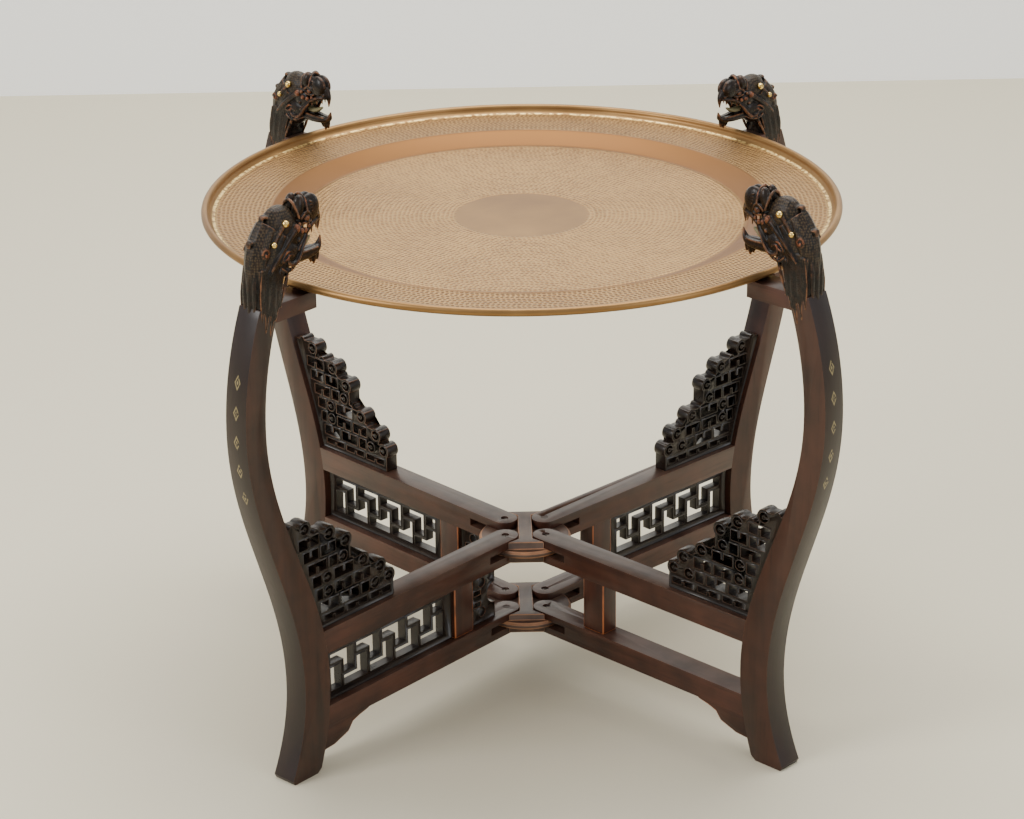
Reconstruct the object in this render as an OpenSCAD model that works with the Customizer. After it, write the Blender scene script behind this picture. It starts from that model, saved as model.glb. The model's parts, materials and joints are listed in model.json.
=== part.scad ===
// Folding tray table: a round sheet-metal tray carried by four carved legs.
// Each leg is a flat frame that swings on two vertical screws, one in each hub.
// Millimetres. Origin on the floor under the centre, +Z up, -Y is the front.
// A leg is drawn in its own plane: X runs outwards, Y across the timber, Z up.

/* [Tray] */
// Diameter of the tray over its rolled rim
tray_d = 760; // [620:1:920]
// Thickness of the sheet metal
tray_gauge = 1.5; // [1:0.1:2]
// Diameter of the roll round the rim
rim_roll_d = 9; // [7:0.5:12]
// Height of the rim's crest above the flange
rim_rise = 11; // [10:0.5:18]
// Width of the flange, from the crest to the sloping wall
flange_w = 84; // [60:1:110]
// Width of the sloping wall round the well
slope_w = 26; // [16:1:40]
// Depth of the well below the flange
well_drop = 12; // [6:0.5:20]

/* [Heights] */
// Height of the ledges that the tray rests on
ledge_z = 598; // [480:1:720]
// Height of the top of the upper rails
upper_rail_z = 179; // [165:1:220]
// Height of the top of the lower rails
lower_rail_z = 80; // [60:1:95]

/* [Timber] */
// Width of a post across the leg
post_w = 32; // [28:1:40]
// Depth of a post at its waist
waist_depth = 40; // [34:1:50]
// Depth of a post at its belly
belly_depth = 30; // [26:1:38]
// Width of the rails across the leg
rail_w = 32; // [26:1:34]
// Height of an upper rail
upper_rail_h = 30; // [26:1:36]
// Height of a lower rail
lower_rail_h = 27; // [24:1:34]
// Length of the stile along the rails
stile_l = 33; // [24:1:40]
// Thickness of the fret panels
panel_t = 12; // [8:1:16]
// Thickness of the corner brackets
bracket_t = 18; // [14:1:26]

/* [Hubs] */
// Offset of each pivot from the centre, in X and in Y
pivot_xy = 25; // [24:0.5:30]
// Diameter of a hub disc
disc_d = 114; // [104:1:130]
// Thickness of a hub disc
disc_t = 9; // [7:0.5:11]
// Diameter of a pivot screw's shank
screw_d = 6; // [5:0.5:8]

/* [Fits] */
// Gap under the tray and beside the hub discs
rest_gap = 0.3; // [0.2:0.05:0.5]
// Radial running clearance of a screw in its hub
pivot_gap = 0.05; // [0.02:0.01:0.08]
// Gap between the tray's rim and a post, level with the ledge
neck_gap = 36; // [32:1:60]

/* [Hidden] */
$fn = 64;
eps = 0.01;
tray_r = tray_d / 2;

// Post: a waist near the floor, a belly below the ledge, and a flared foot.
waist_z = (upper_rail_z - upper_rail_h + lower_rail_z) / 2;
belly_z = ledge_z - 145;
belly_reach = 29;
waist_tuck = 54.5;
foot_flare_in = 21;
foot_flare_out = 28;
foot_chamfer = 5;
post_step = 10;
neck_r = tray_r + neck_gap;
belly_in = neck_r + belly_reach;
waist_in = neck_r - waist_tuck;

// Pivots and rail ends.
pivot_r = pivot_xy * sqrt(2);
rail_end_r = rail_w / 2;
screw_r = screw_d / 2;
head_r = screw_r + 1.8;
head_h = 3;
head_sink = 5;
slot_h = disc_t + 2 * rest_gap;
slot_reach = disc_d / 2 - pivot_r + 24;
bar_w = 2 * (pivot_xy - rail_end_r - rest_gap);
bar_half_l = 46;
flare_l = 12;
widest_spread = 47;

// Rails, stile and the bays between them.
bay_low = lower_rail_z;
bay_high = upper_rail_z - upper_rail_h;
tenon_l = 22;
tenon_w = 10;
tenon_inset = 5;
stile_in = pivot_r + slot_reach + 28;
stile_out = stile_in + stile_l;
stile_tenon = 8;
stile_w = rail_w - 8;
panel_rim = 11;
panel_columns = 9;
strap = 5;
small_fret_in = stile_in - 46;

// Corner bracket above the upper rail. A step is its start, as a share of the bracket's
// length, and the number of rows of openings below its top.
bracket_h = 142;
bracket_l = 120;
bracket_rows = 8;
BRACKET_STEPS = [[0, 2], [0.12, 3], [0.35, 4], [0.58, 6], [0.8, 7], [1.12, 8]];
bracket_row_h = bracket_h / bracket_rows;
bracket_foot = 8;
brick_l = 34;

// Apron below the lower rail.
apron_l = 70;
apron_drop = 32;
apron_t = 24;

// Ledge.
ledge_h = 20;
ledge_in = tray_r - 20;
ledge_w = rail_w;
ledge_tenon_l = 7;

// Dragon head, placed from the middle of the post's top.
head_x = (face_in(ledge_z) + face_out(ledge_z)) / 2;
neck_half = belly_depth / 2;
horn_y = 15.5;
horn_w = 6;
stud_r = 4;
horn_top = [-27, 72];
horn_low = [-10, 56];
muzzle_w = 16;
skull_w = 28;
boss_w = 39;
dowel_d = 10;
dowel_l = 28;
dowel_x = head_x + 5;

// The legs stand a little unevenly, as an old stand does. Each is named with its direction.
LEGS = [["front_left", 227], ["front_right", 315], ["back_left", 133], ["back_right", 42]];
FRETTED = ["front_left", "back_left", "back_right"];
SMALL_FRETTED = ["front_left", "back_left"];
PLUGGED = [["back_right", "upper"], ["front_left", "lower"]];
LEG_PIECES = ["post", "dragon_head", "studs", "ledge", "upper_rail", "lower_rail",
              "stile", "bracket", "apron", "screws"];

// Wood and metal colours.
dark_wood = [0.24, 0.15, 0.11];
red_wood = [0.36, 0.19, 0.12];
black_wood = [0.10, 0.09, 0.08];
brass = [0.68, 0.53, 0.40];
gold = [0.80, 0.62, 0.25];
steel = [0.55, 0.55, 0.56];

// ---------- curves ----------

// A smooth rise from 0 to 1.
function ease(u) = (1 - cos(180 * min(max(u, 0), 1))) / 2;

// Distance from the centre of a post's face at height z, from its waist and belly.
function face_at(z, at_waist, at_belly, flare) =
    z < waist_z ? at_waist + flare * pow((waist_z - z) / waist_z, 2)
    : z < belly_z ? at_waist + (at_belly - at_waist) * ease((z - waist_z) / (belly_z - waist_z))
    : at_belly - belly_reach * pow((z - belly_z) / (ledge_z - belly_z), 2);

function face_in(z) = face_at(z, waist_in, belly_in, foot_flare_in);
function face_out(z) =
    face_at(z, waist_in + waist_depth, belly_in + belly_depth, foot_flare_out);

post_steps = ceil((ledge_z - foot_chamfer) / post_step);
function post_level(i) = foot_chamfer + (ledge_z - foot_chamfer) * i / post_steps;

// ---------- placing ----------

// Turns the X-Z drawing of a leg piece into a solid centred on the leg's plane.
module slab(thickness) {
    rotate([90, 0, 0])
        translate([0, 0, -thickness / 2])
            linear_extrude(thickness) children();
}

module both_sides() {
    children();
    mirror([0, 1, 0]) children();
}

// ---------- tray ----------

module tray_section() {
    floor_z = ledge_z + rest_gap;
    well_z = floor_z - well_drop;
    flange_in = tray_r - flange_w;
    well_r = flange_in - slope_w;
    foot_r = tray_r - 14;
    roll_r = rim_roll_d / 2;
    roll_x = tray_r - roll_r;
    roll_z = floor_z + tray_gauge + rim_rise - roll_r;
    polygon([[0, well_z], [well_r, well_z], [flange_in, floor_z], [foot_r, floor_z],
             [roll_x - 1, roll_z - roll_r + 0.6], [roll_x - roll_r + 0.4, roll_z - 1],
             [foot_r - 1, floor_z + tray_gauge], [flange_in - 1, floor_z + tray_gauge],
             [well_r - 1, well_z + tray_gauge], [0, well_z + tray_gauge]]);
    translate([roll_x, roll_z]) circle(roll_r);
}

module rim_wire_section() {
    translate([tray_r - rim_roll_d / 2,
               ledge_z + rest_gap + tray_gauge + rim_rise - rim_roll_d / 2])
        circle(rim_roll_d / 2 - tray_gauge);
}

module tray() {
    color(brass)
        rotate_extrude($fn = 180)
            difference() {
                tray_section();
                rim_wire_section();
            }
}

module rim_wire() {
    color(steel) rotate_extrude($fn = 180) rim_wire_section();
}

// ---------- hubs ----------

// The bar between the left and right rail ends, scooped for them to turn in.
module hub_bar() {
    difference() {
        union() {
            square([bar_w, 2 * bar_half_l], center = true);
            for (s = [-1, 1])
                polygon([[-bar_w / 2, s * (bar_half_l - flare_l)], [bar_w / 2, s * (bar_half_l - flare_l)],
                         [flare_x(), s * bar_half_l], [-flare_x(), s * bar_half_l]]);
        }
        for (sx = [-1, 1], sy = [-1, 1])
            translate([sx * pivot_xy, sy * pivot_xy])
                circle(rail_end_r + rest_gap);
    }
}

// Half width of the bar's end, where the side of a rail stops against it at the widest spread.
function flare_x() = pivot_xy
    - (rail_end_r + rest_gap - (bar_half_l - pivot_xy) * cos(widest_spread)) / sin(widest_spread);

module hub(mid_z, rail_h) {
    bar_h = rail_h - 2;
    difference() {
        union() {
            translate([0, 0, mid_z - disc_t / 2]) {
                cylinder(h = disc_t, d1 = disc_d - 4, d2 = disc_d - 4, $fn = 96);
                translate([0, 0, 2]) cylinder(h = disc_t - 4, d = disc_d, $fn = 96);
            }
            translate([0, 0, mid_z - bar_h / 2]) linear_extrude(bar_h) hub_bar();
        }
        for (sx = [-1, 1], sy = [-1, 1])
            translate([sx * pivot_xy, sy * pivot_xy, mid_z - rail_h])
                cylinder(h = 2 * rail_h, r = screw_r + pivot_gap);
    }
}

module hub_upper() {
    color(dark_wood) hub(upper_rail_z - upper_rail_h / 2, upper_rail_h);
}

module hub_lower() {
    color(dark_wood) hub(lower_rail_z - lower_rail_h / 2, lower_rail_h);
}

// ---------- leg frame ----------

module post_outline() {
    polygon(concat(
        [[face_in(0) + foot_chamfer, 0]],
        [for (i = [0 : post_steps]) [face_in(post_level(i)), post_level(i)]],
        [for (i = [post_steps : -1 : 0]) [face_out(post_level(i)), post_level(i)]],
        [[face_out(0) - foot_chamfer, 0]]));
}

// Cuts whatever it encloses back to the inner face of the post.
module against_post() {
    difference() {
        children();
        slab(post_w + 1)
            polygon(concat(
                [[face_in(0), -1]],
                [for (i = [0 : post_steps]) [face_in(post_level(i)), post_level(i)]],
                [[face_in(ledge_z), ledge_z + 1], [belly_in + belly_depth + apron_l, ledge_z + 1],
                 [belly_in + belly_depth + apron_l, -1]]));
    }
}

module rail_tenon(top_z, h) {
    translate([waist_in - eps, -tenon_w / 2, top_z - h + tenon_inset])
        cube([tenon_l, tenon_w, h - 2 * tenon_inset]);
}

module ledge_tenon() {
    intersection() {
        translate([ledge_in, -tenon_w / 2, ledge_z - ledge_h + tenon_inset])
            cube([face_in(ledge_z - ledge_h) + ledge_tenon_l - ledge_in, tenon_w,
                  ledge_h - 2 * tenon_inset]);
        slab(post_w) post_outline();
    }
}

module dowel() {
    translate([dowel_x, 0, ledge_z - dowel_l / 2]) cylinder(h = dowel_l, d = dowel_d);
}

module post() {
    color(dark_wood)
        difference() {
            slab(post_w) post_outline();
            rail_tenon(upper_rail_z, upper_rail_h);
            rail_tenon(lower_rail_z, lower_rail_h);
            ledge_tenon();
            dowel();
        }
}

// A rail with a rounded, slotted inner end and a tenon at the post.
module rail(top_z, h) {
    difference() {
        against_post() {
            translate([pivot_r, 0, top_z - h]) cylinder(h = h, r = rail_end_r);
            translate([pivot_r, -rail_w / 2, top_z - h])
                cube([waist_in + 8 - pivot_r, rail_w, h]);
        }
        translate([0, -rail_w, top_z - (h + slot_h) / 2])
            cube([pivot_r + slot_reach, 2 * rail_w, slot_h]);
        translate([pivot_r, 0, top_z - h + 3]) cylinder(h = h, r = screw_r);
        translate([pivot_r, 0, top_z - head_sink]) cylinder(h = h, r = head_r);
    }
    rail_tenon(top_z, h);
}

module stile_tenons() {
    for (z = [bay_low - stile_tenon, bay_high])
        translate([stile_in + 6, -tenon_w / 2, z])
            cube([stile_l - 12, tenon_w, stile_tenon]);
}

module upper_rail() {
    color(red_wood)
        difference() {
            rail(upper_rail_z, upper_rail_h);
            stile_tenons();
        }
}

module lower_rail() {
    color(red_wood)
        difference() {
            rail(lower_rail_z, lower_rail_h);
            stile_tenons();
        }
}

module stile() {
    color(red_wood) {
        translate([stile_in, -stile_w / 2, bay_low])
            cube([stile_l, stile_w, bay_high - bay_low]);
        stile_tenons();
    }
}

module ledge() {
    color(red_wood) {
        against_post()
            translate([ledge_in, -ledge_w / 2, ledge_z - ledge_h])
                cube([belly_in - ledge_in, ledge_w, ledge_h]);
        ledge_tenon();
    }
}

// One screw: countersunk in the rail's top, through the hub, into the rail's foot.
module screw(top_z, h) {
    translate([pivot_r, 0, top_z - h + 3]) cylinder(h = h - 3 - head_sink + eps, r = screw_r);
    translate([pivot_r, 0, top_z - head_sink])
        difference() {
            cylinder(h = head_h, r = head_r);
            translate([0, 0, head_h - 0.5]) cube([2 * head_r + 1, 1.2, 1.4], center = true);
        }
}

module screws() {
    color(steel) {
        screw(upper_rail_z, upper_rail_h);
        screw(lower_rail_z, lower_rail_h);
    }
}

module screw_plug(which) {
    top_z = which == "upper" ? upper_rail_z : lower_rail_z;
    color(dark_wood)
        translate([pivot_r, 0, top_z - head_sink + head_h])
            cylinder(h = head_sink - head_h - 0.4, r = head_r);
}

// ---------- pierced work ----------

// Openings of a key fret, three rows high: interlocking L shapes, turned end for end.
module key_openings(x0, x1, z0, z1, columns) {
    cell_x = (x1 - x0 + strap) / columns;
    cell_z = (z1 - z0 + strap) / 3;
    for (i = [0 : columns - 1]) {
        x = x0 + cell_x * i;
        low = z0 + (i % 2) * cell_z;
        arm = z0 + (i % 2) * 2 * cell_z;
        reach = i < columns - 1 ? 2 * cell_x : cell_x;
        translate([x, low]) square([cell_x - strap, 2 * cell_z - strap]);
        translate([x, arm]) square([reach - strap, cell_z - strap]);
    }
    translate([x0, z1 - cell_z + strap]) square([cell_x - strap, cell_z - strap]);
}

module fret_panel() {
    low = bay_low + panel_rim;
    high = bay_high - panel_rim;
    start = stile_out + panel_rim + strap;
    end = waist_in - panel_rim;
    color(black_wood)
        against_post()
            slab(panel_t)
                difference() {
                    translate([stile_out, bay_low])
                        square([waist_in + 6 - stile_out, bay_high - bay_low]);
                    key_openings(start, end, low, high, panel_columns);
                }
}

// A little bracket at the top and bottom of the bay next to the hub.
module small_fret() {
    mid = (bay_low + bay_high) / 2;
    color(black_wood)
        slab(panel_t)
            difference() {
                translate([small_fret_in, bay_low])
                    square([stile_in - small_fret_in, bay_high - bay_low]);
                translate([small_fret_in, mid]) circle(14, $fn = 48);
                for (s = [-1, 1]) {
                    translate([small_fret_in + 24, mid + s * 20]) circle(6, $fn = 32);
                    translate([small_fret_in + 26, mid + s * 8 - 3]) square([12, 6]);
                }
            }
}

// Distance from the centre of the bracket's free edge beside a row, counted from the rail.
function bracket_x(row) = waist_in
    - bracket_l * (1 - [for (step = BRACKET_STEPS) if (step[1] > row) step[0]][0]);
function row_z(row) = upper_rail_z + bracket_row_h * row;
scroll_r = (bracket_row_h - strap) / 2 + strap * 0.7;

// The opening of a scroll: round, with an eye that hangs on a stalk.
module scroll_opening(r) {
    difference() {
        circle(r, $fn = 32);
        circle(r * 0.42, $fn = 24);
        translate([0, -r * 0.2]) square([2 * r, r * 0.4]);
    }
}

// Every step ends in a round scroll that stands a little proud of its corner.
module bracket_outline() {
    for (step = BRACKET_STEPS) {
        x = bracket_x(step[1] - 1);
        translate([x + 3, upper_rail_z]) square([belly_in - x, row_z(step[1]) - upper_rail_z]);
        translate([x + scroll_r, row_z(step[1]) - scroll_r + 2]) circle(scroll_r);
        translate([x + 3 * scroll_r, row_z(step[1]) - 1]) circle(strap, $fn = 32);
    }
}

// Each row holds a scroll at its free end, then slots with a hook standing in them. A
// short gap joins a slot to the row above.
module bracket_openings() {
    for (row = [0 : bracket_rows - 1]) {
        low = row == 0 ? upper_rail_z + bracket_foot : row_z(row) + strap / 2;
        high = row_z(row + 1) - strap / 2;
        height = high - low;
        is_top = len([for (step = BRACKET_STEPS) if (step[1] == row + 1) step]) > 0;
        start = bracket_x(row) + 3 + strap;
        first = start + (is_top ? 2 * scroll_r - 1 : 0);
        end = face_in(low) - 9;
        if (is_top)
            translate([bracket_x(row) + scroll_r, row_z(row + 1) - scroll_r + 2])
                scroll_opening(scroll_r - strap * 0.7);
        bricks = max(1, round((end - first) / brick_l));
        pitch = (end - first + strap) / bricks;
        width = pitch - strap;
        if (width > height)
            for (i = [0 : bricks - 1]) translate([first + pitch * i, low])
                if ((i + row) % 3 == 1 && row > 0) {
                    translate([height / 2, height / 2]) scroll_opening(height / 2);
                    if (width > height + strap * 2)
                        translate([height + strap * 0.8, 0])
                            square([width - height - strap * 0.8, height]);
                } else {
                    difference() {
                        square([width, height]);
                        translate([width * 0.42, row % 2 == 0 ? -1 : height * 0.4])
                            square([strap * 0.9, height * 0.6 + 1]);
                    }
                    if (!is_top && row % 2 == 1)
                        translate([width * 0.72, height - 1]) square([width * 0.2, strap + 2]);
                }
    }
}

module bracket() {
    color(black_wood)
        against_post()
            slab(bracket_t)
                difference() {
                    bracket_outline();
                    bracket_openings();
                }
}

module apron() {
    top = lower_rail_z - lower_rail_h;
    start = waist_in - apron_l;
    color(red_wood)
        against_post()
            slab(apron_t)
                difference() {
                    polygon([[start, top], [start + 3, top - 5], [start + 18, top - 8],
                             [start + 30, top - 12], [start + 38, top - 22],
                             [start + 50, top - 26], [start + 62, top - 30],
                             [waist_in + 24, top - apron_drop], [waist_in + 24, top]]);
                    translate([start + 28, top - 26]) circle(10, $fn = 48);
                }
}

// ---------- dragon head ----------

// Outline of the head in the leg's plane, from the middle of the post's top.
HEAD_OUTLINE = [[-neck_half, 0], [-18, 8], [-24, 18], [-34, 27], [-50, 35], [-66, 38],
                [-79, 41], [-85, 47], [-85, 54], [-80, 50], [-69, 48], [-58, 50], [-50, 56],
                [-58, 60], [-69, 60], [-79, 57], [-85, 62], [-84, 72], [-76, 82], [-66, 91],
                [-56, 88], [-49, 83], [-40, 88], [-28, 86], [-17, 78], [-10, 82], [-5, 78],
                [-6, 70], [-1, 63], [5, 66], [8, 61], [5, 53], [9, 37], [neck_half, 18],
                [neck_half, 0]];
SKULL_OUTLINE = [[-10, 8], [-20, 14], [-34, 29], [-48, 38], [-50, 54], [-58, 66], [-52, 77],
                 [-38, 82], [-25, 79], [-12, 67], [-2, 52], [6, 34], [10, 16]];
NECK_OUTLINE = [[-neck_half, 0], [-18, 8], [-24, 18], [-12, 26], [8, 28],
                [neck_half, 16], [neck_half, 0]];

module at_head(p, y = 0) {
    translate([head_x + p[0], y, ledge_z + p[1]]) children();
}

module stud_balls() {
    both_sides()
        for (p = [horn_top, horn_low]) at_head(p, horn_y) sphere(stud_r, $fn = 32);
}

// The raised ridge that joins the upper stud to the lower one.
module horn_outline() {
    run = horn_low - horn_top;
    translate(horn_top)
        rotate(atan2(run[1], run[0]))
            translate([0, -horn_w / 2]) square([norm(run), horn_w]);
}

module dragon_head() {
    color(black_wood) {
        difference() {
            at_head([0, 0]) {
                slab(muzzle_w) polygon(HEAD_OUTLINE);
                slab(skull_w) polygon(SKULL_OUTLINE);
                slab(post_w) polygon(NECK_OUTLINE);
                slab(2 * horn_y + 2) horn_outline();
                slab(boss_w) translate([1, 54]) circle(5);
                slab(skull_w + 5) translate([-52, 61]) circle(7.5);
                slab(skull_w + 3) translate([-66, 73]) circle(6.5);
            }
            stud_balls();
        }
        dowel();
    }
}

module studs() {
    color(gold) stud_balls();
}

// ---------- drawing ----------

function angle_of(name) = [for (leg = LEGS) if (leg[0] == name) leg[1]][0];

// Puts a leg piece in place: it turns on its own pivot, not on the centre.
module at_leg(name) {
    angle = angle_of(name);
    translate([sign(cos(angle)) * pivot_xy, sign(sin(angle)) * pivot_xy, 0])
        rotate([0, 0, angle])
            translate([-pivot_r, 0, 0]) children();
}

tray();
rim_wire();
hub_upper();
hub_lower();
for (leg = LEGS) at_leg(leg[0]) {
    post();
    dragon_head();
    studs();
    ledge();
    upper_rail();
    lower_rail();
    stile();
    bracket();
    apron();
    screws();
}
for (name = FRETTED) at_leg(name)
    fret_panel();
for (name = SMALL_FRETTED) at_leg(name)
    small_fret();
for (place = PLUGGED) at_leg(place[0])
    screw_plug(place[1]);
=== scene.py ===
import json
import math

import bmesh
import bpy
import numpy as np
from mathutils import Matrix, Vector


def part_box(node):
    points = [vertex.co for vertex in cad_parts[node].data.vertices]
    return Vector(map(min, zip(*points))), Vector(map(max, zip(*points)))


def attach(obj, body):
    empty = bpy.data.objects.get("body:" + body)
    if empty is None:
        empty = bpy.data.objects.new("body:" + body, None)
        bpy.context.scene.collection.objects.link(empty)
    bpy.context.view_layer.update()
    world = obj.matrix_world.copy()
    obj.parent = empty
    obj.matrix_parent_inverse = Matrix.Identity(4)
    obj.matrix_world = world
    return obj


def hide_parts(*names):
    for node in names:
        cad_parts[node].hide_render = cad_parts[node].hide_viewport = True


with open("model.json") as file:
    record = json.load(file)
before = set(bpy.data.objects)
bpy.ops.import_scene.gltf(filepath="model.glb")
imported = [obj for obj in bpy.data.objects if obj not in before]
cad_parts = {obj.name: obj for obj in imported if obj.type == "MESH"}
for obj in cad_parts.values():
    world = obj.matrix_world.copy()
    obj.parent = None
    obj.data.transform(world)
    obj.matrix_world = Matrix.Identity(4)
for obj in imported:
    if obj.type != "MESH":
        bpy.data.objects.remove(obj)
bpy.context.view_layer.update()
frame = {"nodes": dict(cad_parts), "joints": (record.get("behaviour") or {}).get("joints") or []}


# ---- Camera, floor and light ----
# A standing person looks down at the table from a few steps away. The floor and the wall
# behind are plain and pale. The light is a large soft ceiling and a window on the left.

eye = Vector((-0.0793, -3.3879, 1.7558))
heading = math.radians(1.097)
tilt = math.radians(22.73)
roll = math.radians(-0.693)
floor_colour = (0.71, 0.65, 0.49, 1)
wall_colour = (0.86, 0.86, 0.84, 1)

camera = bpy.data.objects.new("camera", bpy.data.cameras.new("camera"))
bpy.context.collection.objects.link(camera)
camera.matrix_world = (Matrix.Translation(eye) @ Matrix.Rotation(-heading, 4, "Z")
                       @ Matrix.Rotation(math.pi / 2 - tilt, 4, "X")
                       @ Matrix.Rotation(roll, 4, "Z"))
camera.data.sensor_width = 36
camera.data.lens = 105.5
camera.data.clip_end = 60
bpy.context.scene.camera = camera

half_sheet = 6
wall_glow = 0.28
lying = Matrix.Translation((0, -3.5, 0))
upright = Matrix.Translation((0, 2.5, half_sheet)) @ Matrix.Rotation(math.pi / 2, 4, "X")
for name, place, colour, glow in (("floor", lying, floor_colour, 0),
                                  ("wall", upright, wall_colour, wall_glow)):
    sheet_mesh = bmesh.new()
    bmesh.ops.create_grid(sheet_mesh, x_segments=1, y_segments=1, size=half_sheet, matrix=place)
    backdrop = bpy.data.objects.new(name, bpy.data.meshes.new(name))
    sheet_mesh.to_mesh(backdrop.data)
    sheet_mesh.free()
    bpy.context.collection.objects.link(backdrop)
    paint = bpy.data.materials.new(name)
    paint.use_nodes = True
    sockets = paint.node_tree.nodes["Principled BSDF"].inputs
    sockets["Base Color"].default_value = colour
    sockets["Roughness"].default_value = 0.75
    sockets["Emission Color"].default_value = colour
    sockets["Emission Strength"].default_value = glow
    backdrop.data.materials.append(paint)

world = bpy.data.worlds.new("studio")
world.use_nodes = True
world.node_tree.nodes["Background"].inputs["Color"].default_value = (0.95, 0.97, 1.0, 1)
world.node_tree.nodes["Background"].inputs["Strength"].default_value = 0.72
bpy.context.scene.world = world


def soft_light(name, place, aim, size, watts, colour):
    lamp = bpy.data.objects.new(name, bpy.data.lights.new(name, "AREA"))
    lamp.data.shape = "RECTANGLE"
    lamp.data.size, lamp.data.size_y = size
    lamp.data.energy = watts
    lamp.data.color = colour
    lamp.location = place
    lamp.rotation_euler = (Vector(aim) - Vector(place)).to_track_quat("-Z", "Y").to_euler()
    bpy.context.collection.objects.link(lamp)


soft_light("ceiling", (0.3, 0.8, 3.4), (0, 0, 0.3), (3.0, 2.4), 122, (1.0, 0.985, 0.96))
soft_light("window", (-2.6, -1.4, 2.2), (0, 0, 0.4), (1.3, 1.6), 62, (1.0, 0.985, 0.97))
soft_light("fill", (2.4, -2.2, 1.6), (0, 0, 0.4), (1.4, 1.6), 22, (0.96, 0.98, 1.0))


# ---- Tray ----
# One brass sheet, spun to a shallow dish and hammered in rings with a small round punch.
# Its rim is rolled over a wire. The slope and the round mark in the middle stay smooth.

class Shade:
    """A shader socket that takes part in Python arithmetic by adding Math nodes."""

    def __init__(self, material, socket):
        self.material = material
        self.socket = socket

    @staticmethod
    def node(material, kind, settings=None, **values):
        made = material.node_tree.nodes.new("ShaderNode" + kind)
        for name, value in (settings or {}).items():
            if name == "stops":
                ramp = made.color_ramp
                while len(ramp.elements) < len(value):
                    ramp.elements.new(0.5)
                for stop, (place, colour) in zip(ramp.elements, value):
                    stop.position = place
                    stop.color = colour if len(colour) == 4 else (*colour, 1)
            else:
                setattr(made, name, value)
        for name, value in values.items():
            key = int(name[1:]) if name[0] == "i" and name[1:].isdigit() else name.replace("_", " ")
            if isinstance(value, Shade):
                material.node_tree.links.new(value.socket, made.inputs[key])
            else:
                made.inputs[key].default_value = value
        return made

    def add(self, kind, settings=None, out=0, **values):
        made = Shade.node(self.material, kind, settings, **values)
        return Shade(self.material, made.outputs[out])

    def math(self, operation, *others, clamp=False):
        values = {f"i{k}": v for k, v in enumerate((self, *others))}
        return self.add("Math", {"operation": operation, "use_clamp": clamp}, **values)

    def __add__(self, other): return self.math("ADD", other)
    def __radd__(self, other): return self.math("ADD", other)
    def __mul__(self, other): return self.math("MULTIPLY", other)
    def __rmul__(self, other): return self.math("MULTIPLY", other)
    def __sub__(self, other): return self.math("SUBTRACT", other)
    def __rsub__(self, other): return self * -1.0 + other
    def __truediv__(self, other): return self.math("DIVIDE", other)

    def band(self, low, high):
        """0 below low, 1 above high, smooth between."""
        return self.add("MapRange", {"interpolation_type": "SMOOTHSTEP"}, i0=self, i1=low, i2=high)

    def between(self, first, second):
        """Mixes two colours, by this mask."""
        return self.add("Mix", {"data_type": "RGBA"}, out=2, i0=self, i6=first, i7=second)


def finish_material(name, **values):
    """A new material with its shader's constants set; returns it and its shader."""
    material = bpy.data.materials.new(name)
    material.use_nodes = True
    shader = material.node_tree.nodes["Principled BSDF"]
    for key, value in values.items():
        shader.inputs[key.replace("_", " ")].default_value = value
    return material, shader


def wire_up(material, shader, **shades):
    for key, shade in shades.items():
        material.node_tree.links.new(shade.socket, shader.inputs[key.replace("_", " ")])


def carried(material, attribute, output="Fac"):
    """What a piece carries as an attribute, as one value or as a vector."""
    node = Shade.node(material, "Attribute", {"attribute_name": attribute})
    return Shade(material, node.outputs[output])


def coordinates(material, attribute=None):
    """The object's own coordinates, or those that a piece carries as an attribute."""
    if attribute:
        return carried(material, attribute, "Vector")
    return Shade(material, Shade.node(material, "TexCoord").outputs["Object"])


tray_low, tray_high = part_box("tray")
tray_r = (tray_high[0] - tray_low[0]) / 2
sheet = 0.0015
roll_r = 0.0045
rim_rise = 0.011
flange_w = 0.084
slope_w = 0.026
rim_w = 0.014
roll_start, roll_turn, roll_points = 195, 19, 17
tray_steps = 256
roll_x = tray_r - roll_r
roll_z = tray_high[2] - roll_r
flange_z = tray_high[2] - rim_rise
well_z = tray_low[2] + sheet
flange_in = tray_r - flange_w
well_r = flange_in - slope_w
foot_r = tray_r - rim_w

profile = [(0.0, well_z), (0.03, well_z), (well_r - 0.004, well_z),
           (well_r - 0.001, well_z + 0.0002),
           (well_r + 0.002, well_z + 0.0010), (flange_in - 0.002, flange_z - 0.0009),
           (flange_in + 0.0005, flange_z + 0.0004), (flange_in + 0.002, flange_z + 0.0005),
           (flange_in + 0.004, flange_z), (foot_r - 0.002, flange_z), (foot_r, flange_z + 0.0004),
           (foot_r + 0.002, flange_z + 0.0014), (foot_r + 0.0038, flange_z + 0.0034)]
for step in range(roll_points):
    turn = math.radians(roll_start - step * roll_turn)
    profile.append((roll_x + roll_r * math.cos(turn), roll_z + roll_r * math.sin(turn)))
profile += [(foot_r + 0.0042, flange_z + 0.0010), (foot_r + 0.002, flange_z - 0.0008),
            (foot_r, flange_z - sheet), (flange_in + 0.002, flange_z - sheet),
            (flange_in - 0.002, flange_z - sheet - 0.0005),
            (well_r + 0.002, well_z - sheet + 0.0005),
            (well_r - 0.003, well_z - sheet), (0.03, well_z - sheet), (0.0, well_z - sheet)]

tray_mesh = bmesh.new()
line = [tray_mesh.verts.new((x, 0, z)) for x, z in profile]
edges = [tray_mesh.edges.new(pair) for pair in zip(line, line[1:])]
bmesh.ops.spin(tray_mesh, geom=line + edges, cent=(0, 0, 0), axis=(0, 0, 1),
               angle=2 * math.pi, steps=tray_steps, use_merge=True)
bmesh.ops.remove_doubles(tray_mesh, verts=tray_mesh.verts, dist=1e-6)
bmesh.ops.recalc_face_normals(tray_mesh, faces=tray_mesh.faces)

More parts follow.
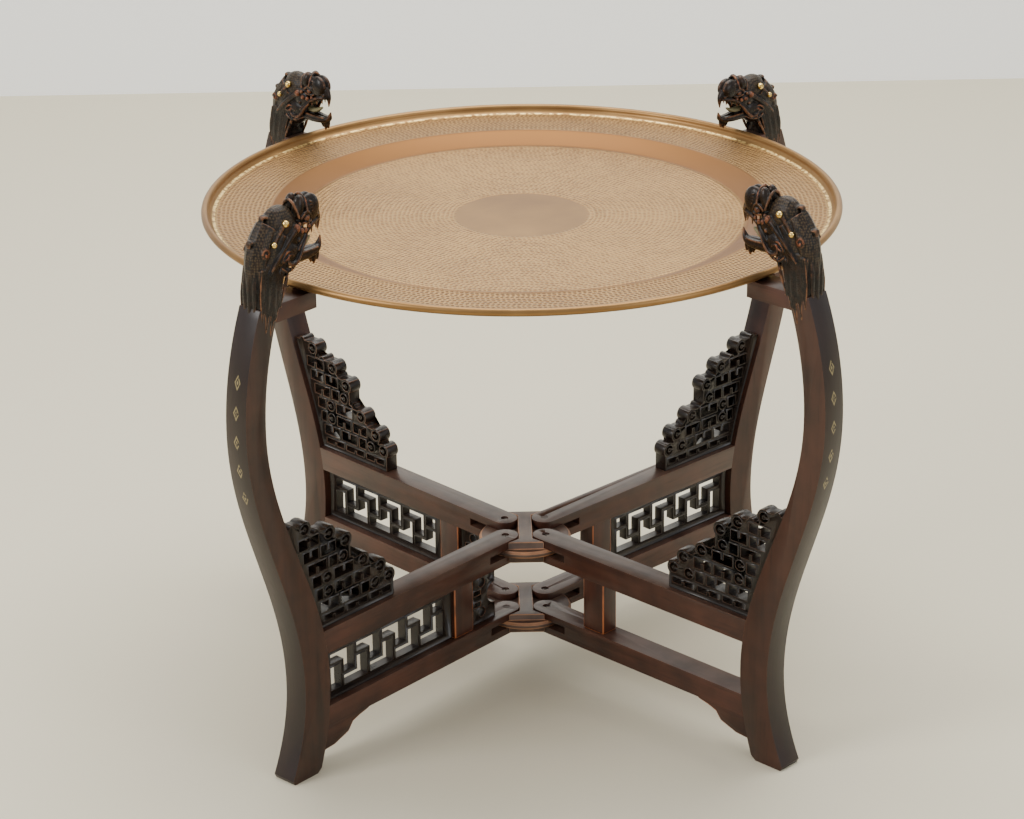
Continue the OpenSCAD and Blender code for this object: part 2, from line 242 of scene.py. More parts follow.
brass_dull = (0.17, 0.080, 0.026, 1)
brass_bright = (0.50, 0.305, 0.120, 1)
flange_patina = (0.12, 0.054, 0.016, 1)
slope_patina = (0.19, 0.080, 0.021, 1)
painted_sparkle_gold = (0.85, 0.62, 0.25, 1)

brass, brass_shader = finish_material("hammered brass", Metallic=0.92, Roughness=0.38)
place = coordinates(brass)
axes = Shade.node(brass, "SeparateXYZ", Vector=place)
x, y, z = (Shade(brass, axes.outputs[k]) for k in range(3))
radius = (x * x + y * y).math("POWER", 0.5)
angle = y.math("ARCTAN2", x) / (2 * math.pi) + 0.5

# The punch marks lie in rings, and each ring holds a whole number of them.
ring_pitch = 0.0052
marks_per_pitch = 0.92
wobble = place.add("TexNoise", Vector=place, Scale=75.0, Detail=1.0) * 0.0034
ring = ((radius + wobble) / ring_pitch).math("FLOOR")
in_ring = ((radius + wobble) / ring_pitch).math("FRACT") - 0.5
marks = (ring * (2 * math.pi * marks_per_pitch)).math("ROUND")
wander = ring.add("TexWhiteNoise", {"noise_dimensions": "1D"}, W=ring)
along = angle * marks + wander
mark = along.math("FLOOR")
in_mark = along.math("FRACT") - 0.5
chance = mark.add("TexWhiteNoise", {"noise_dimensions": "2D"},
                  Vector=mark.add("CombineXYZ", X=mark, Y=ring))
dent = (in_ring * in_ring + in_mark * in_mark).math("POWER", 0.5).band(0.12, 0.5)
hammered_flange = (radius.band(flange_in + 0.003, flange_in + 0.006)
                   * (1 - radius.band(foot_r - 0.004, foot_r - 0.001)))
hammered_well = (1 - radius.band(well_r - 0.006, well_r - 0.003)) * radius.band(0.076, 0.084)
hammered = (hammered_flange + hammered_well) * z.band(well_z - 0.001, well_z - 0.0005)
cloudy = place.add("TexNoise", Vector=place, Scale=9.0, Detail=4.0, Roughness=0.6)
fine = place.add("TexNoise", Vector=place, Scale=160.0, Detail=2.0)
tone = dent * hammered * 0.5 + (1 - hammered) * 0.3 + cloudy * 0.45 + chance * 0.22 * hammered
worn = tone.band(0.25, 0.95)
skin = worn.between(brass_dull, brass_bright)
skin = (hammered_flange * (1.2 - dent) * 0.85).between(skin, flange_patina)
smooth_band = (radius.band(well_r - 0.004, well_r)
               * (1 - radius.band(flange_in, flange_in + 0.004)))
skin = (smooth_band * 0.9).between(skin, slope_patina)
# Painted highlight: a sparkling golden line along the foot of the rolled rim.
painted_sparkle_line = (radius.band(foot_r - 0.004, foot_r - 0.002)
             * (1 - radius.band(foot_r + 0.001, foot_r + 0.002)))
skin = (painted_sparkle_line * fine.band(0.35, 0.6)).between(skin, painted_sparkle_gold)
rough = 0.34 + cloudy * 0.16 + (1 - dent) * hammered * 0.05
bump = Shade.node(brass, "Bump", Strength=0.8, Distance=0.0012,
                  Height=dent * hammered * (0.75 + chance * 0.5) + fine * 0.05)
wire_up(brass, brass_shader, Base_Color=skin, Roughness=rough, Normal=Shade(brass, bump.outputs[0]))

tray = bpy.data.objects.new("tray_sheet", bpy.data.meshes.new("tray_sheet"))
tray_mesh.to_mesh(tray.data)
tray_mesh.free()
tray.data.shade_smooth()
tray.data.materials.append(brass)
bpy.context.collection.objects.link(tray)
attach(tray, "tray")
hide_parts("tray")

wire_metal, _ = finish_material("rim wire", Base_Color=(0.42, 0.40, 0.38, 1), Metallic=1.0,
                                Roughness=0.5)
frame["nodes"]["rim_wire"].data.materials.clear()
frame["nodes"]["rim_wire"].data.materials.append(wire_metal)


# ---- Leg timbers ----
# Posts, rails, stiles, ledges and aprons are sawn from a dense red-brown hardwood, stained
# nearly black. Years of use have rubbed the stain off the arrises and left dust on top.

sharp_turn = math.radians(35)
leg_turns = {}
pivots = {}
for joint in frame["joints"]:
    if joint["name"].startswith("fold_"):
        low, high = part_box("post_" + joint["name"][5:])
        pivot = Vector(joint["pos_m"][:2])
        reach = (Vector(low[:2]) + Vector(high[:2])) / 2 - pivot
        pivots[joint["name"][5:]] = pivot
        leg_turns[joint["name"][5:]] = math.atan2(reach.y, reach.x)


def timber_finish(name, stain, heart, rubbed, gloss, dust=0.5, inlay=False):
    """Stained wood: grain along the piece, rubbed arrises, dust on the upper faces.
    Inlay gives the foot, top and pitch of a row of pale lozenges on a post's outer face."""
    material, shader = finish_material(name, Coat_Roughness=0.2, Coat_Weight=0.08,
                                       Specular_IOR_Level=0.4)
    grain_place = coordinates(material, "timber")
    rub = carried(material, "wear")
    stretched = grain_place.add("VectorMath", {"operation": "MULTIPLY"}, i0=grain_place,
                                i1=(0.07, 1.0, 1.0))
    grain = stretched.add("TexNoise", Vector=stretched, Scale=230.0, Detail=5.0, Roughness=0.65)
    figure = stretched.add("TexNoise", Vector=stretched, Scale=42.0, Detail=3.0)
    patches = grain_place.add("TexNoise", Vector=grain_place, Scale=22.0, Detail=4.0)
    normal = Shade(material, Shade.node(material, "NewGeometry").outputs["Normal"])
    up = normal.add("SeparateXYZ", out=2, Vector=normal)
    body = (figure * 0.6 + patches * 0.5).band(0.35, 0.78)
    colour = body.between((*stain, 1), (*heart, 1))
    pore = (*(part * 0.4 for part in stain), 1)
    colour = (grain.band(0.52, 0.75) * 0.45).between(colour, pore)
    if dust:
        settled = up.band(0.6, 0.98) * patches.band(0.3, 0.65) * dust
        colour = settled.between(colour, (0.115, 0.075, 0.055, 1))
    rubbing = rub * (patches * 0.9 + grain * 0.4).band(0.36, 0.70)
    colour = rubbing.between(colour, (*rubbed, 1))
    if inlay:
        foot, top, pitch = inlay
        edge = 0.0005
        out = carried(material, "outness")
        outer = out.band(0.6, 0.8)
        colour = (outer * 0.8).between(colour, (stain[0] * 0.45, stain[1] * 0.5, stain[2] * 0.6, 1))
        split = Shade.node(material, "SeparateXYZ", Vector=grain_place)
        along, across = (Shade(material, split.outputs[k]) for k in range(2))
        step = (along - foot) / pitch
        high = step.math("FRACT").math("SUBTRACT", 0.5).math("ABSOLUTE") * 3.4
        spot = high + across.math("ABSOLUTE") * 190.0
        ring = spot.band(0.52, 0.60) * (1 - spot.band(0.82, 0.92)) + (1 - spot.band(0.22, 0.34))
        reach = along.band(foot - edge, foot + edge) * (1 - along.band(top - edge, top + edge))
        lost = grain_place.add("TexNoise", Vector=grain_place, Scale=210.0,
                               Detail=3.0).band(0.36, 0.5)
        colour = (ring * reach * outer * lost * 0.85).between(colour, (0.30, 0.24, 0.11, 1))
    bump = Shade.node(material, "Bump", Strength=0.35, Distance=0.0006,
                      Height=grain * 0.5 + patches * 0.35)
    rough = gloss + grain * 0.16 + rub * 0.04 + patches * 0.1
    wire_up(material, shader, Base_Color=colour, Roughness=rough,
            Normal=Shade(material, bump.outputs[0]))
    return material


def flat_floats(values):
    """An array as the flat run of floats that a mesh takes."""
    return np.ascontiguousarray(values, dtype=np.float32).ravel()


def eased_copy(node, arris):
    """A copy of a timber with its arrises eased; the eased faces are marked as worn."""
    bm = bmesh.new()
    bm.from_mesh(frame["nodes"][node].data)
    bmesh.ops.remove_doubles(bm, verts=bm.verts, dist=2e-5)
    bmesh.ops.dissolve_limit(bm, angle_limit=math.radians(0.6), verts=bm.verts, edges=bm.edges)
    wear = bm.loops.layers.float.new("wear")
    sharp = [e for e in bm.edges if len(e.link_faces) == 2
             and e.calc_face_angle(0) > sharp_turn and e.calc_length() > arris]
    eased = bmesh.ops.bevel(bm, geom=sharp, offset=arris, segments=2, affect="EDGES",
                            profile=0.5, material=-1, clamp_overlap=True)
    for face in eased["faces"]:
        for loop in face.loops:
            loop[wear] = 1.0
    return bm


def fit_to_leg(bm, name, leg, nodes, material, grain="x"):
    """Makes a leg's piece from bm, with its grain direction, and puts it on the leg."""
    turn = leg_turns[leg]
    mesh = bpy.data.meshes.new(name)
    bm.to_mesh(mesh)
    bm.free()
    count = len(mesh.vertices)
    points = np.empty(count * 3, dtype=np.float32)
    mesh.vertices.foreach_get("co", points)
    points = points.reshape(-1, 3)
    east, north = points[:, 0] - pivots[leg].x, points[:, 1] - pivots[leg].y
    outward = east * math.cos(turn) + north * math.sin(turn)
    across = -east * math.sin(turn) + north * math.cos(turn)
    lengths = (outward, across, points[:, 2]) if grain == "x" else (points[:, 2], across, outward)
    timber = np.stack(lengths, axis=1)
    layer = mesh.attributes.new("timber", "FLOAT_VECTOR", "POINT")
    layer.data.foreach_set("vector", flat_floats(timber))
    facing = []
    for face in mesh.polygons:
        outness = face.normal.x * math.cos(turn) + face.normal.y * math.sin(turn)
        facing += [outness] * face.loop_total
    mesh.attributes.new("outness", "FLOAT", "CORNER").data.foreach_set("value", facing)
    mesh.shade_smooth()
    mesh.set_sharp_from_angle(angle=sharp_turn)
    mesh.materials.append(material)
    piece = bpy.data.objects.new(name, mesh)
    bpy.context.collection.objects.link(piece)
    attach(piece, "leg_" + leg)
    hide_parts(*nodes)


post_wood = timber_finish("post wood", (0.018, 0.0075, 0.0045), (0.062, 0.021, 0.011),
                          (0.36, 0.115, 0.04), 0.22,
                          dust=0.3, inlay=(0.36, 0.535, 0.035))
rail_wood = timber_finish("rail wood", (0.025, 0.0095, 0.0055), (0.085, 0.028, 0.015),
                          (0.42, 0.13, 0.045), 0.25, dust=0.5)

for leg in leg_turns:
    fit_to_leg(eased_copy(f"post_{leg}", 0.0028), f"timber_post_{leg}", leg,
               [f"post_{leg}"], post_wood, grain="z")
    for piece, arris in (("upper_rail", 0.0014), ("lower_rail", 0.0014), ("ledge", 0.0020)):
        fit_to_leg(eased_copy(f"{piece}_{leg}", arris), f"timber_{piece}_{leg}", leg,
                   [f"{piece}_{leg}"], rail_wood)
    fit_to_leg(eased_copy(f"stile_{leg}", 0.0014), f"timber_stile_{leg}", leg,
               [f"stile_{leg}"], rail_wood, grain="z")
    fit_to_leg(eased_copy(f"apron_{leg}", 0.0018), f"timber_apron_{leg}", leg,
               [f"apron_{leg}"], rail_wood)


# ---- Pierced panels and brackets ----
# The frets and the corner brackets are pierced with a fine saw, then their straps are
# hollowed along the middle, which leaves a raised thread along both edges. Dark polish.

fret_wood = timber_finish("fret wood", (0.009, 0.007, 0.006), (0.026, 0.015, 0.010),
                          (0.17, 0.075, 0.038), 0.17, dust=0.12)


def hollowed(bm, leg, thread, depth):
    """Sinks the middle of every strap on both broad faces and leaves a thread at its edges."""
    turn = leg_turns[leg]
    across = Vector((-math.sin(turn), math.cos(turn), 0))
    for side in (1, -1):
        broad = [f for f in bm.faces if f.normal.dot(across) * side > 0.99 and f.calc_area() > 2e-6]
        bmesh.ops.inset_region(bm, faces=broad, thickness=thread, use_even_offset=True,
                               use_boundary=True)
        bmesh.ops.inset_region(bm, faces=broad, thickness=thread * 0.4, depth=-depth,
                               use_even_offset=True, use_boundary=True)
    return bm


for leg in leg_turns:
    fit_to_leg(hollowed(eased_copy(f"bracket_{leg}", 0.0005), leg, 0.0010, 0.0011),
               f"carved_bracket_{leg}",
               leg, [f"bracket_{leg}"], fret_wood)
    for piece in ("fret_panel", "small_fret"):
        node = f"{piece}_{leg}"
        if node in frame["nodes"]:
            fit_to_leg(hollowed(eased_copy(node, 0.0005), leg, 0.0010, 0.0010), f"carved_{node}",
                       leg, [node], fret_wood)


# ---- Hubs, screws and plugs ----
# Two turned discs carry the legs, each with a bar across its top and its foot. Steel screws
# with slotted heads pin every rail end to its disc.

hub_wood, hub_shader = finish_material("hub wood", Coat_Weight=0.15, Coat_Roughness=0.3)
hub_place = coordinates(hub_wood)
hub_stretched = hub_place.add("VectorMath", {"operation": "MULTIPLY"},
                              i0=hub_place, i1=(1.0, 0.08, 1.0))
hub_grain = hub_place.add("TexNoise", Scale=170.0, Detail=5.0, Vector=hub_stretched)
hub_patches = hub_place.add("TexNoise", Vector=hub_place, Scale=26.0, Detail=4.0)
hub_rub = carried(hub_wood, "wear")
hub_colour = hub_patches.band(0.35, 0.7).between((0.045, 0.024, 0.017, 1), (0.13, 0.075, 0.05, 1))
hub_colour = (hub_rub * hub_patches.band(0.3, 0.6)).between(hub_colour, (0.42, 0.20, 0.10, 1))
hub_bump = Shade.node(hub_wood, "Bump", Strength=0.3, Distance=0.0005, Height=hub_grain)
wire_up(hub_wood, hub_shader, Base_Color=hub_colour, Roughness=0.38 + hub_grain * 0.2,
        Normal=Shade(hub_wood, hub_bump.outputs[0]))

for name in ("hub_upper", "hub_lower"):
    bm = eased_copy(name, 0.0012)
    hub = bpy.data.objects.new("turned_" + name, bpy.data.meshes.new("turned_" + name))
    bm.to_mesh(hub.data)
    bm.free()
    hub.data.shade_smooth()
    hub.data.set_sharp_from_angle(angle=sharp_turn)
    hub.data.materials.append(hub_wood)
    bpy.context.collection.objects.link(hub)
    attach(hub, "hubs")
    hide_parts(name)

screw_metal, screw_shader = finish_material("screw steel", Metallic=0.9)
screw_place = coordinates(screw_metal)
screw_noise = screw_place.add("TexNoise", Vector=screw_place, Scale=320.0, Detail=3.0)
wire_up(screw_metal, screw_shader, Roughness=0.3 + screw_noise * 0.2,
        Base_Color=screw_noise.band(0.3, 0.7).between((0.10, 0.075, 0.06, 1),
                                                      (0.30, 0.27, 0.24, 1)))
plug_wood, plug_shader = finish_material("plug wood")
plug_place = coordinates(plug_wood)
plug_noise = plug_place.add("TexNoise", Vector=plug_place, Scale=300.0, Detail=3.0)
wire_up(plug_wood, plug_shader, Roughness=0.45 + plug_noise * 0.2,
        Base_Color=plug_noise.band(0.3, 0.7).between((0.03, 0.017, 0.012, 1),
                                                     (0.07, 0.035, 0.022, 1)))
for name, node in frame["nodes"].items():
    if name.startswith(("screws_", "screw_plug_")):
        node.data.materials.clear()
        node.data.materials.append(screw_metal if name.startswith("screws_") else plug_wood)


# ---- Dragon heads ----
# One head is built in millimetres from the middle of a post's top, nose inward, out of
# overlapping beads and strands that are fused into one skin. The four copies are carved
# to different heights and lengths.

clay = bmesh.new()
strands = {}
neck_foot, neck_top, neck_long = 15.3, 12.6, 40
curve_drop, curve_out = 145, 29
skin_voxel = 0.72


def bead(x, y, z, rx, ry=None, rz=None, tilt=0):
    """An egg of clay. A positive tilt lifts its inner end."""
    ry, rz = ry or rx, rz or rx
    shape = (Matrix.Translation((x, y, z)) @ Matrix.Rotation(math.radians(tilt), 4, "Y")
             @ Matrix.Diagonal((rx, ry, rz, 1)))
    bmesh.ops.create_icosphere(clay, subdivisions=3 if min(rx, ry, rz) > 4 else 2, radius=1,
                               matrix=shape)


def pair(x, y, z, *radii, tilt=0):
    for side in (1, -1):
        bead(x, side * y, z, *radii, tilt=tilt)


def limb(*stations, flat=1.0, single=False):
    """A round strand through stations of x, y, z and radius, on both sides. Strands that
    are equally flat share one curve, which is drawn wide and then narrowed."""
    if flat not in strands:
        curve = bpy.data.curves.new("strand", "CURVE")
        curve.dimensions = "3D"
        curve.bevel_depth = 1.0
        curve.bevel_resolution = 3
        curve.use_fill_caps = True
        strands[flat] = curve
    for side in ((1,) if single else (1, -1)):
        spline = strands[flat].splines.new("NURBS")
        spline.points.add(len(stations) - 1)
        for point, (x, y, z, r) in zip(spline.points, stations):
            point.co = (x, side * y / flat, z, 1)
            point.radius = max(r, 0.4)
        spline.use_endpoint_u = True
        spline.order_u = 3
        spline.resolution_u = 8


# Neck and skull.
bmesh.ops.create_cone(clay, cap_ends=True, segments=4, radius1=neck_foot * math.sqrt(2),
                      radius2=neck_top * math.sqrt(2), depth=neck_long,
                      matrix=Matrix.Translation((-2, 0, 15)) @ Matrix.Diagonal((1, 1.06, 1, 1))
                      @ Matrix.Rotation(math.pi / 4, 4, "Z"))
limb((-0.5, 0, 2, 15), (-1.5, 0, 12, 17), (-5, 0, 24, 19), (-11, 0, 38, 20.5), (-18, 0, 51, 21.5),
     (-25, 0, 62, 20),
     flat=0.8, single=True)
limb((-14, 0, 70, 11), (-5, 0, 58, 13), (1, 0, 46, 13), (3.4, 0, 32, 12.5), (3.4, 0, 12, 12),
     flat=1.15, single=True)
bead(-30, 0, 66, 22, 14.4, 20, tilt=-30)
pair(-44, 6.5, 57, 15, 8, 12)
pair(-34, 6.5, 42, 16, 9, 13)
bead(-25, 0, 31, 15, 13.6, 14)
bead(-34, 0, 38, 14, 12.5, 9)
# Snout with two pairs of lobes, and the beak with its fang.
bead(-63, 0, 69.5, 20, 9.6, 9.5, tilt=4)
pair(-70, 4.2, 75.5, 13.5, 6.6, 13.5, tilt=-28)
pair(-53, 6.2, 80.5, 6.6, 6.4, 11, tilt=-16)
limb((-79, 0, 72, 5.5), (-84.5, 0, 67, 3.6), (-86, 0, 59, 2.2), (-85, 0, 51, 0.6), flat=1.2,
     single=True)
pair(-80.5, 4.2, 66, 3.4, 2.6, 3)
# Jaws, tongue, teeth and beard.
limb((-84, 3, 63, 2.1), (-74, 7, 62, 2.3), (-63, 9.4, 58, 2.3), (-53, 11, 49, 2.1),
     (-45, 12.4, 42, 1.9))
limb((-34, 5, 36, 7), (-54, 4.6, 33, 5.4), (-70, 3.4, 32.5, 4.6), (-81, 2.4, 33.5, 3.8),
     (-86, 1, 37, 2.6), (-88, 0, 45, 0.8))
limb((-50, 8.6, 37.5, 1.5), (-66, 7.4, 35.5, 1.4), (-80, 5, 36, 1.2))
limb((-44, 0, 42, 4.8), (-57, 0, 41, 4), (-66, 0, 43.5, 3), (-73, 0, 48, 1.3), flat=1.35,
     single=True)
for x, y, z in ((-78, 5, 61), (-70, 6.8, 59), (-62, 8.2, 56)):
    limb((x, y, z, 1.7), (x - 0.5, y, z - 7, 0.5))
limb((-82, 0, 32, 3.2), (-83, 0, 27, 3), (-82.6, 0, 22.5, 1), flat=0.9, single=True)
limb((-77.5, 0, 32, 4.2), (-78.5, 0, 25, 3.6), (-77.5, 0, 19.5, 0.8), flat=0.9, single=True)
limb((-72, 0, 31, 3.2), (-73, 0, 27, 3), (-73.6, 0, 22.5, 1), flat=0.9, single=True)
# Whiskers that curl over the cheek, and the beads above them.
limb((-60, 11, 53, 1.3), (-54, 12.4, 47, 1.8), (-48, 13.6, 38, 2.1), (-41, 14.3, 31.5, 2.3),
     (-32, 14.8, 32, 2.1),
     (-28, 15, 38, 1.7), (-32, 14.8, 43, 1.4), (-37, 14.6, 39.5, 1.2))
limb((-49, 9.6, 33, 1.1), (-42, 11.6, 29.5, 1.5), (-33, 13.2, 26.5, 1.7), (-24, 14.4, 27, 1.5),
     (-20, 15, 32, 1))
for x, y, z, r in ((-64, 9.8, 61, 2.2), (-57.5, 11.4, 58.5, 2.7), (-51, 12.8, 59.5, 3),
                   (-48.5, 12.8, 66, 2.2), (-46, 13.8, 52.5, 2.2)):
    pair(x, y, z, r)
# Eyes, lids and the ridges that divide the brows.
pair(-61, 8.6, 69, 4.5)
limb((-69, 8.4, 66, 1.2), (-66, 10, 73, 1.7), (-58, 11.2, 75.5, 1.9), (-52, 11.4, 69.5, 1.4))
limb((-68, 9.4, 65, 1), (-61, 11.6, 64, 1.2), (-54, 11.6, 66, 1))
limb((-60, 0, 91, 1.5), (-61, 5, 89, 1.8), (-62, 9.4, 82, 1.9), (-61, 11.4, 75, 1.6))
limb((-46, 0, 88, 1.3), (-46, 6, 86.5, 1.6), (-47, 11, 79, 1.6), (-49, 12.6, 71, 1.3))
for k in range(4):
    limb((-83 + k, 4.6, 66 + 4 * k, 0.7), (-77 + k, 9.2, 69 + 3.6 * k, 0.9),
         (-69 + k, 10.6, 74 + 3.2 * k, 0.7))
# Horn with its knob, the thin ridge between the studs, the ear and the spiral boss.
limb((-42, 13.2, 63, 4), (-33, 14.4, 57, 3.7), (-21, 15.2, 48, 3.4), (-10, 15.6, 38.5, 2.8),
     (-2, 15.8, 30, 1.4))
pair(-43, 13.8, 63.5, 4.4)
limb((-27, 13.4, 72, 3), (-19, 14.6, 65, 1.6), (-10, 14.8, 56, 2.6))
limb((-33, 14.4, 44.5, 1.1), (-28, 15.2, 46, 1.4), (-21, 15.6, 41, 1.3), (-20.5, 15.6, 36.5, 1),
     (-27, 15.2, 38, 1.3),
     (-32.5, 14.6, 42, 1))
coil = [(5 - 0.52 * k, 0.8 * k) for k in range(9)]
limb(*[(1 + r * math.cos(turn), 14.4 + 0.2 * k, 50 + r * math.sin(turn), 1.3)
       for k, (r, turn) in enumerate(coil)])
pair(0, 12.8, 50, 7, 3.6, 7)
# Two curled hooks on the nape.
limb((-17, 0, 77, 2.6), (-9.5, 0, 80.5, 1.9), (-6, 0, 78.5, 1.6), (-7.5, 0, 75, 1.2), flat=2.4,
     single=True)
limb((3, 0, 58, 2.8), (10, 0, 61.5, 1.9), (13.5, 0, 59, 1.7), (12.5, 0, 55.5, 1.2), flat=2.4,
     single=True)


def post_shift(z):
    """How far outward a post has curved at a height below its top."""
    t = max(0.0, min(1.0, -z / curve_drop))
    return curve_out * t * t * (3 - 2 * t)


# Pointed mane lappets in low relief, down the neck and over the sides of the post.
for foot_x, foot_z, top_x, top_z, half in ((-8.5, -18, -21, 30, 4.2), (-3, -34, -13, 36, 4.6),
                                           (4.5, -28, -3, 38, 4.6), (11, -15, 5, 36, 4)):
    body, left, right = [], [], []
    for k in range(7):
        t = k / 6
        z = top_z + (foot_z - top_z) * t
        x = top_x + (foot_x - top_x) * math.sin(t * math.pi / 2) + post_shift(z)
        y = 13.4 + 1.5 * min(1, (top_z - z) / 30)
        width = max(0.5, half * (0.75 + 0.5 * t if t < 0.5 else 1.9 - 1.8 * t))
        body.append((x, y, z, width))
        left.append((x - width * 0.9, y + 0.9, z, 0.9 - 0.2 * t))
        right.append((x + width * 0.9, y + 0.9, z, 0.9 - 0.2 * t))
    limb(*body, flat=0.5)
    limb(*left)
    limb(*right)
limb((-30, 13.4, 30, 1.3), (-26, 14.2, 19, 2), (-20, 15, 8, 1.8), (-14, 15.4, -4, 0.6))
limb((11, 7, 38, 1), (13.4, 7.5, 22, 2.6), (14, 7.5, 4, 2.4), (15.4, 7, -12, 0.6), flat=1.5)
limb((12, 0, 44, 1.2), (14.2, 0, 24, 2.6), (14.2, 0, 2, 2.6), (17.4, 0, -24, 0.6), flat=1.5,
     single=True)
limb((-16, 6, 16, 3.4), (-13.6, 7, 2, 2.6), (-13, 7, -10, 0.7), flat=1.5)

def drawn_mesh(thing):
    """The mesh that an object's curve or modifiers draw."""
    seen = thing.evaluated_get(bpy.context.evaluated_depsgraph_get())
    return bpy.data.meshes.new_from_object(seen)


lump = bpy.data.objects.new("clay", bpy.data.meshes.new("clay"))
for flat, curve in strands.items():
    strand = bpy.data.objects.new("strand", curve)
    bpy.context.collection.objects.link(strand)
    drawn = drawn_mesh(strand)
    drawn.transform(Matrix.Diagonal((1, flat, 1, 1)))
    clay.from_mesh(drawn)
    bpy.data.objects.remove(strand)
clay.to_mesh(lump.data)
clay.free()
bpy.context.collection.objects.link(lump)
fuse = lump.modifiers.new("fuse", "REMESH")
fuse.mode = "VOXEL"
fuse.voxel_size = skin_voxel
soften = lump.modifiers.new("soften", "SMOOTH")
soften.factor = 0.5
soften.iterations = 1
skin_mesh = drawn_mesh(lump)
bpy.data.objects.remove(lump)

count = len(skin_mesh.vertices)
clay_points = np.empty(count * 3, dtype=np.float32)
skin_mesh.vertices.foreach_get("co", clay_points)
clay_points = clay_points.reshape(-1, 3)
normals = np.empty(count * 3, dtype=np.float32)
skin_mesh.vertices.foreach_get("normal", normals)
normals = normals.reshape(-1, 3)
ends = np.empty(len(skin_mesh.edges) * 2, dtype=np.int32)
skin_mesh.edges.foreach_get("vertices", ends)
ends = ends.reshape(-1, 2)


def spread(values):
    """The mean of every point's neighbours on the skin."""
    total, near = np.zeros_like(values), np.zeros(count)
    for here, there in ((0, 1), (1, 0)):
        np.add.at(total, ends[:, here], values[ends[:, there]])
        np.add.at(near, ends[:, here], 1)
    return total / np.maximum(near, 1).reshape(-1, *[1] * (values.ndim - 1))


smoothed = spread(spread(spread(clay_points)))
bulge = ((clay_points - smoothed) * normals).sum(axis=1)
# Raised skin is marked as rubbed; hollow skin gets negative values, which carry painted shade for
# its hollows.
rub_and_hollow_shade = np.clip(spread(bulge) / 0.2, -1, 1)
cx, cy, cz = clay_points.T
scaled_crown = (np.clip((cz - 38 + 0.6 * (cx + 10)) / 8, 0, 1)
                * np.clip((cx + 50) / 5, 0, 1) * (np.abs(cy) < 15.6))
coppery = np.zeros(count)
for x, y, z, r in ((-43, 14, 63.5, 6), (-57.5, 11.4, 58.5, 3.6), (-51, 12.8, 59.5, 4),
                   (-64, 9.8, 61, 3), (-61, 8.6, 69, 5.2),
                   (1, 16, 50, 6.5), (-28, 15.4, 42, 5), (-61.5, 8, 83, 3.6), (-42, 14.5, 30, 3.4)):
    distance = np.sqrt((cx - x) ** 2 + (np.abs(cy) - y) ** 2 + (cz - z) ** 2)
    coppery = np.maximum(coppery, np.clip(1.25 - distance / r, 0, 1))
tongue = ((np.abs(cy) < 5.5) & (cx < -46) & (cx > -75) & (cz > 40.5) & (cz < 51)).astype(float)

polish = (0.006, 0.0045, 0.0035, 1)
warm_polish = (0.022, 0.012, 0.007, 1)
scale_brown = (0.058, 0.038, 0.019, 1)
bare_wood = (0.20, 0.085, 0.038, 1)
copper_paint = (0.33, 0.10, 0.042, 1)
painted_hollow_shade = (0.004, 0.003, 0.003, 1)
pale_tongue = (0.21, 0.185, 0.10, 1)

head_wood, head_shader = finish_material("head wood", Specular_IOR_Level=0.26)
head_place = coordinates(head_wood, "clay")
head_rub_and_hollow_shade = carried(head_wood, "wear")
marks_split = Shade.node(head_wood, "SeparateXYZ", Vector=coordinates(head_wood, "carving"))
scales, copper, pale = (Shade(head_wood, marks_split.outputs[k]) for k in range(3))
head_noise = head_place.add("TexNoise", Vector=head_place, Scale=0.16, Detail=4.0)
head_fine = head_place.add("TexNoise", Vector=head_place, Scale=0.9, Detail=3.0)
cells = head_place.add("TexVoronoi", {"feature": "F1"}, Vector=head_place, Scale=0.40,
                       Randomness=0.35)
head_colour = head_noise.band(0.35, 0.7).between(polish, warm_polish)
head_colour = (scales * (1 - cells.band(0.25, 0.62)) * 0.9).between(head_colour, scale_brown)
worn_high = head_rub_and_hollow_shade.band(0.28, 0.95) * head_noise.band(0.3, 0.65)
head_colour = worn_high.between(head_colour, bare_wood)
worn_copper = copper * head_rub_and_hollow_shade.band(0.0, 0.6) * head_fine.band(0.3, 0.6) * 0.8
head_colour = worn_copper.between(head_colour, copper_paint)
# Painted shade: the carving's hollows are darkened nearly to black.
head_colour = ((1 - head_rub_and_hollow_shade.band(-0.55, -0.05)) * 0.75).between(head_colour, painted_hollow_shade)
head_colour = (pale * head_rub_and_hollow_shade.band(-0.5, 0.2)).between(head_colour, pale_tongue)
head_bump = Shade.node(head_wood, "Bump", Strength=0.6, Distance=0.0005,
                       Height=head_fine * 0.35 - cells * scales * 1.1)
wire_up(head_wood, head_shader, Base_Color=head_colour,
        Normal=Shade(head_wood, head_bump.outputs[0]),
        Roughness=0.20 + head_fine * 0.18 + scales * 0.12)
gold, gold_shader = finish_material("gold", Metallic=1.0, Roughness=0.24)
gold_place = coordinates(gold)
gold_noise = gold_place.add("TexNoise", Vector=gold_place, Scale=420.0, Detail=2.0)
gold_colour = gold_noise.band(0.3, 0.7).between((0.50, 0.32, 0.08, 1), (0.92, 0.68, 0.26, 1))
wire_up(gold, gold_shader, Base_Color=gold_colour)

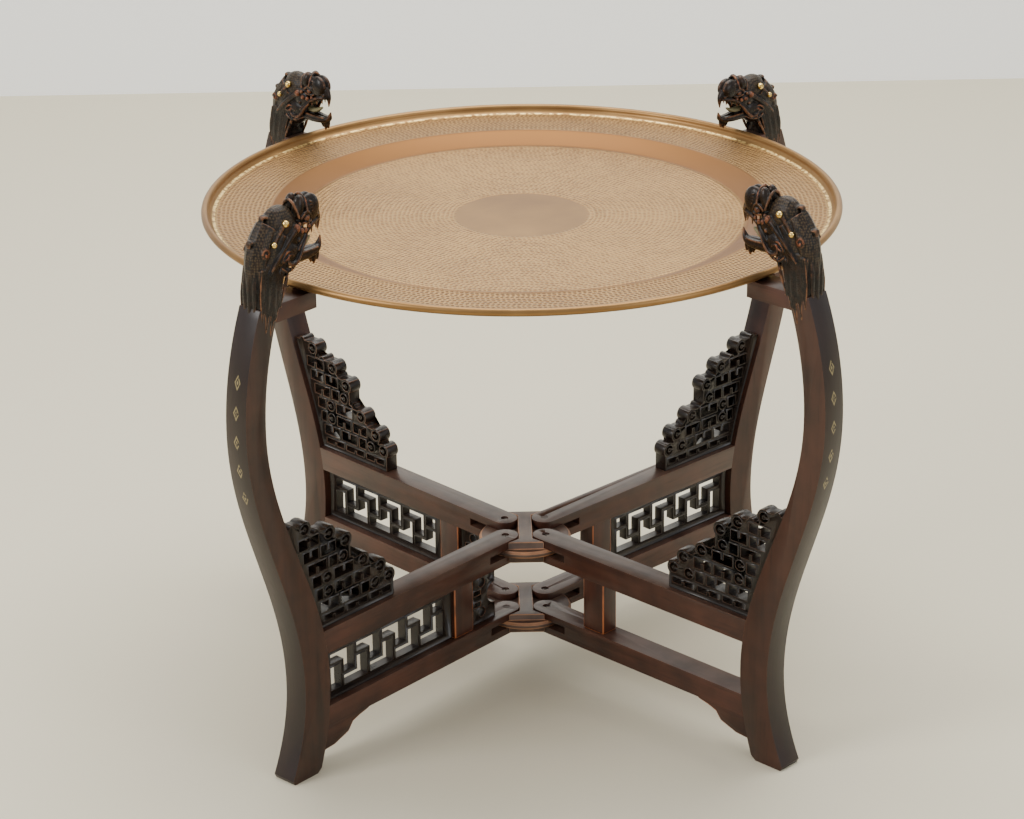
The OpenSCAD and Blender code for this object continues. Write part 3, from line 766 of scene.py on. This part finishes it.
head_stretch = {"front_left": 1.23, "front_right": 1.20, "back_left": 1.0, "back_right": 0.91}
head_reach = {"front_left": 1.09, "front_right": 1.03, "back_left": 1.02, "back_right": 1.0}
mm = 0.001
post_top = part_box("post_front_left")[1][2]
for leg, turn in leg_turns.items():
    out_way = Vector((math.cos(turn), math.sin(turn), 0))
    base = [(v.co.xy - pivots[leg]).dot(out_way.xy)
            for v in frame["nodes"]["dragon_head_" + leg].data.vertices
            if abs(v.co.z - post_top) < 1e-4]
    middle = Vector((*pivots[leg], post_top)) + out_way * (min(base) + max(base)) / 2
    stretch = np.where(clay_points[:, 2] > 0, head_stretch[leg], 1.0)
    reach = np.where(clay_points[:, 0] < 0, head_reach[leg], 1.0)
    world_points = (np.outer(clay_points[:, 0] * reach, out_way)
                    + np.outer(clay_points[:, 1], (-out_way.y, out_way.x, 0))
                    + np.outer(clay_points[:, 2] * stretch, (0, 0, 1))) * mm + np.array(middle)
    head_mesh = skin_mesh.copy()
    head_mesh.vertices.foreach_set("co", flat_floats(world_points))
    carving = np.stack([scaled_crown, coppery, tongue], axis=1)
    for name, kind, values in (("wear", "FLOAT", rub_and_hollow_shade),
                               ("clay", "FLOAT_VECTOR", clay_points),
                               ("carving", "FLOAT_VECTOR", carving)):
        head_mesh.attributes.new(name, kind, "POINT").data.foreach_set(
            "value" if kind == "FLOAT" else "vector", flat_floats(values))
    head_mesh.shade_smooth()
    head_mesh.materials.append(head_wood)
    carved = bpy.data.objects.new("carved_head_" + leg, head_mesh)
    bpy.context.collection.objects.link(carved)
    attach(carved, "leg_" + leg)
    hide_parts("dragon_head_" + leg)

    stud_mesh = bmesh.new()
    side_way = Vector((-out_way.y, out_way.x, 0))
    for x, z, stud_r in ((-27, 72, 0.0042), (-10, 56, 0.0036)):
        for side in (15.4, -15.4):
            spot = middle + (out_way * x * head_reach[leg] + side_way * side) * mm
            spot.z += z * mm * head_stretch[leg]
            bmesh.ops.create_icosphere(stud_mesh, subdivisions=4, radius=stud_r,
                                       matrix=Matrix.Translation(spot))
    stud = bpy.data.objects.new("gold_studs_" + leg, bpy.data.meshes.new("gold_studs_" + leg))
    stud_mesh.to_mesh(stud.data)
    stud_mesh.free()
    stud.data.shade_smooth()
    stud.data.materials.append(gold)
    bpy.context.collection.objects.link(stud)
    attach(stud, "leg_" + leg)
    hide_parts("studs_" + leg)
